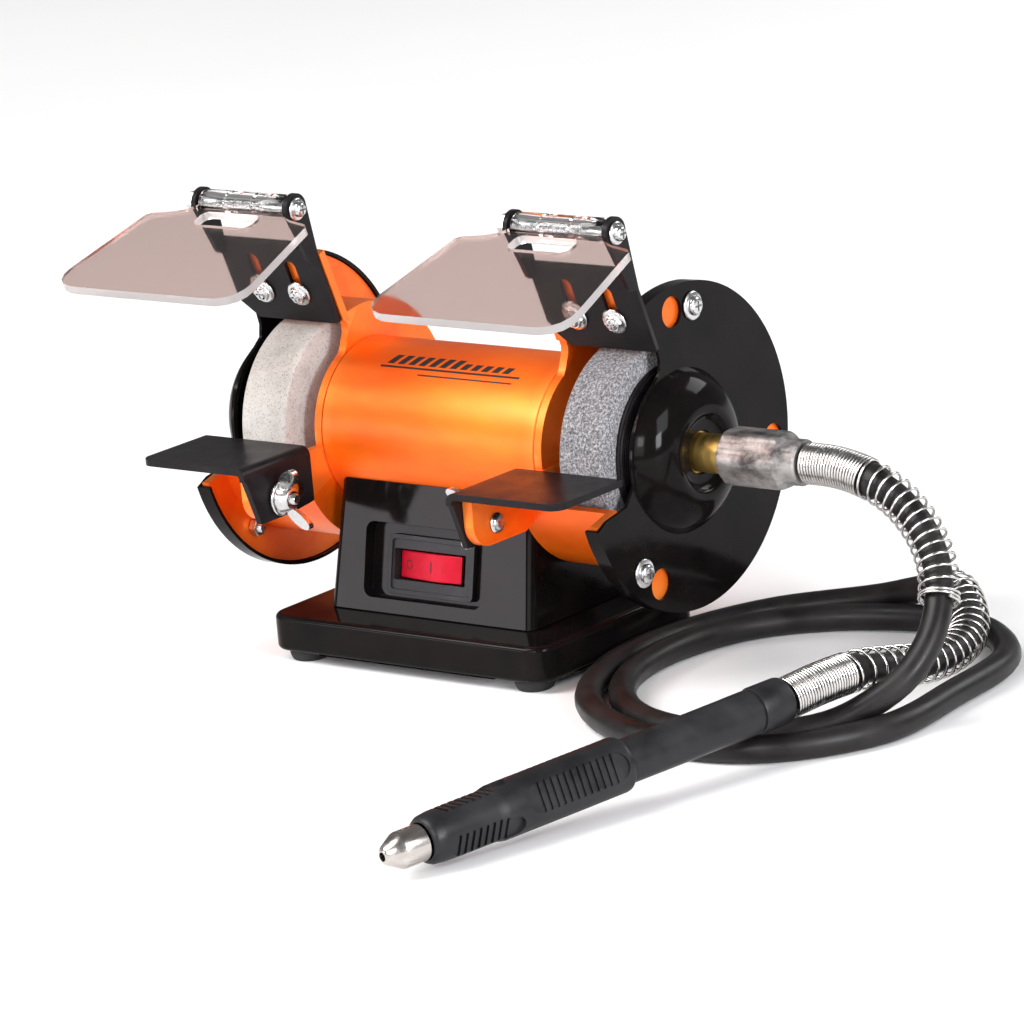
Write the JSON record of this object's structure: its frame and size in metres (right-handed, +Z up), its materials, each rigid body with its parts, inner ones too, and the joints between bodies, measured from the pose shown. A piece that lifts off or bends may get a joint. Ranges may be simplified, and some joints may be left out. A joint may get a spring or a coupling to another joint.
{
  "type": "bench grinder",
  "caption": "Small double-ended bench grinder with tool rests, hinged visors, a rocker switch, and a flexible drive shaft with a handpiece.",
  "frame": {"origin": "middle of the base's underside, on the bottom plate; the rubber feet reach 4 mm below it", "axes": "+X along the spindle towards the flexible shaft, -Y towards the user, +Z up"},
  "size_m": [0.3194, 0.3054, 0.1631],
  "materials": {
    "black_gloss_paint": "gloss",
    "black_rubber": "matte",
    "zinc_plated_steel": "bright",
    "orange_paint": "satin metallic",
    "lamination_steel": "dull",
    "machined_steel": "turned",
    "satin_black_paint": "satin",
    "white_alumina": "rough bonded grit",
    "grey_fleece": "non-woven fibre",
    "clear_plastic": "clear polycarbonate",
    "black_plastic": "fine satin",
    "red_plastic": "gloss",
    "brass": "turned",
    "aluminium": "turned",
    "spring_steel": "bright"
  },
  "bodies": {
    "frame": {"base_housing": "black_gloss_paint", "bearing_left": "machined_steel", "bearing_right": "machined_steel", "bottom_plate": "zinc_plated_steel", "carriage_bolt_left": "zinc_plated_steel", "carriage_bolt_right": "zinc_plated_steel", "cord_gland": "black_rubber", "coupling_nut": "aluminium", "cover_screw_lower_left": "zinc_plated_steel", "cover_screw_lower_right": "zinc_plated_steel", "cover_screw_rear_left": "zinc_plated_steel", "cover_screw_rear_right": "zinc_plated_steel", "cover_screw_upper_left": "zinc_plated_steel", "cover_screw_upper_right": "zinc_plated_steel", "deflector_screw_inner_left": "zinc_plated_steel", "deflector_screw_inner_right": "zinc_plated_steel", "deflector_screw_outer_left": "zinc_plated_steel", "deflector_screw_outer_right": "zinc_plated_steel", "drive_adapter": "brass", "end_bell_left": "orange_paint", "end_bell_right": "orange_paint", "foot_front_left": "black_rubber", "foot_front_right": "black_rubber", "foot_rear_left": "black_rubber", "foot_rear_right": "black_rubber", "guard_cover_left": "black_gloss_paint", "guard_cover_right": "black_gloss_paint", "handpiece_body": "black_plastic", "handpiece_grip": "black_plastic", "hose": "black_rubber", "motor_shell": "orange_paint", "pedestal": "black_gloss_paint", "spring_guard_handpiece": "spring_steel", "spring_guard_machine": "spring_steel", "stator": "lamination_steel", "switch_body": "black_plastic"},
    "spindle_set": {"spindle": "machined_steel", "rotor": "lamination_steel", "wheel_left": "white_alumina", "wheel_right": "grey_fleece", "inner_flange_left": "satin_black_paint", "inner_flange_right": "satin_black_paint", "outer_flange_left": "satin_black_paint", "outer_flange_right": "satin_black_paint", "spindle_nut_left": "zinc_plated_steel", "spindle_nut_right": "zinc_plated_steel"},
    "collet": {"collet_nose": "machined_steel"},
    "rocker": {"switch_rocker": "red_plastic"},
    "deflector_arm_left": {"deflector_left": "satin_black_paint", "visor_bolt_left": "zinc_plated_steel", "visor_nut_left": "zinc_plated_steel"},
    "visor_flap_left": {"visor_left": "clear_plastic"},
    "rest_left": {"tool_rest_left": "satin_black_paint"},
    "wing_left": {"wing_nut_left": "zinc_plated_steel"},
    "deflector_arm_right": {"deflector_right": "satin_black_paint", "visor_bolt_right": "zinc_plated_steel", "visor_nut_right": "zinc_plated_steel"},
    "visor_flap_right": {"visor_right": "clear_plastic"},
    "rest_right": {"tool_rest_right": "satin_black_paint"},
    "wing_right": {"wing_nut_right": "zinc_plated_steel"}
  },
  "joints": [
    {"name": "spindle_spin", "type": "hinge", "parent": "frame", "child": "spindle_set", "pos_m": [0, 0.0075, 0.072], "axis": [1, 0, 0], "continuous": true},
    {"name": "collet_spin", "type": "hinge", "parent": "frame", "child": "collet", "pos_m": [0.178, -0.0682, 0.0155], "axis": [-0.2525, -0.9653, -0.067], "continuous": true},
    {"name": "rocker_tilt", "type": "hinge", "parent": "frame", "child": "rocker", "pos_m": [-0.004, -0.01859, 0.02875], "axis": [0, 0.2124, 0.9772], "range_deg": [0, 18]},
    {"name": "deflector_slide_left", "type": "slide", "parent": "frame", "child": "deflector_arm_left", "axis": [0, -0.3535, 0.9354], "range_m": [-0.001, 0.002]},
    {"name": "visor_hinge_left", "type": "hinge", "parent": "deflector_arm_left", "child": "visor_flap_left", "pos_m": [-0.0693, -0.0235, 0.154], "axis": [-1, 0, 0], "range_deg": [-25, 100]},
    {"name": "tool_rest_slide_left", "type": "slide", "parent": "frame", "child": "rest_left", "axis": [0, -1, 0], "range_m": [-0.001, 0.008]},
    {"name": "wing_nut_turn_left", "type": "hinge", "parent": "frame", "child": "wing_left", "pos_m": [-0.041, -0.05, 0.058], "axis": [1, 0, 0], "continuous": true},
    {"name": "deflector_slide_right", "type": "slide", "parent": "frame", "child": "deflector_arm_right", "axis": [0, -0.3535, 0.9354], "range_m": [-0.001, 0.002]},
    {"name": "visor_hinge_right", "type": "hinge", "parent": "deflector_arm_right", "child": "visor_flap_right", "pos_m": [0.0693, -0.0235, 0.154], "axis": [-1, 0, 0], "range_deg": [-25, 100]},
    {"name": "tool_rest_slide_right", "type": "slide", "parent": "frame", "child": "rest_right", "axis": [0, -1, 0], "range_m": [-0.001, 0.008]},
    {"name": "wing_nut_turn_right", "type": "hinge", "parent": "frame", "child": "wing_right", "pos_m": [0.041, -0.05, 0.058], "axis": [1, 0, 0], "continuous": true}
  ],
  "couplings": [
    {"joint": "collet_spin", "follows": "spindle_spin", "ratio": 1}
  ]
}
